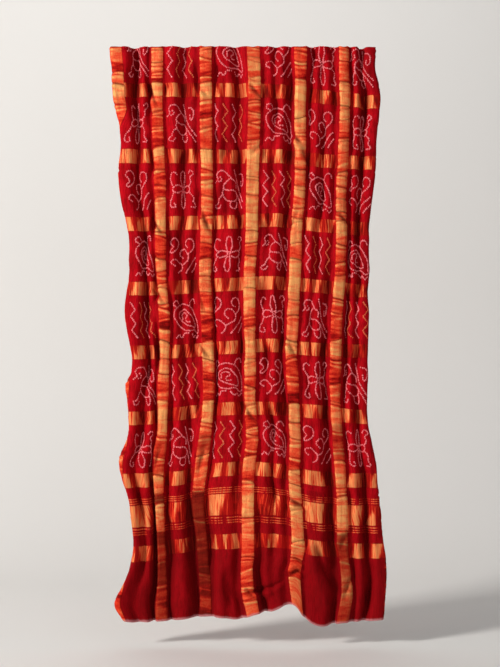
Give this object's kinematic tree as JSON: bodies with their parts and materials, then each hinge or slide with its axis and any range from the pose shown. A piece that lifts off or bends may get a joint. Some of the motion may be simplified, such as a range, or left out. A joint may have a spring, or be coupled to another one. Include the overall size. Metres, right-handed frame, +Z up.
{
  "type": "bandhani cloth",
  "caption": "Red silk bandhani cloth with a woven gold grid, tied and dyed dot motifs in its squares and a plain end, hanging in upright folds.",
  "frame": {"origin": "middle of the top edge, from which the cloth hangs, at the front of its folds", "axes": "+X to the right seen from the front, -Y out of the patterned face towards the viewer, +Z up, so the cloth hangs down along -Z"},
  "size_m": [0.6809, 0.0751, 1.4099],
  "materials": {
    "red_silk": "soft crinkled silk, red, with woven gold stripes and pale dyed dots"
  },
  "bodies": {
    "root": {"bandhani_sheet": "red_silk"}
  },
  "joints": []
}
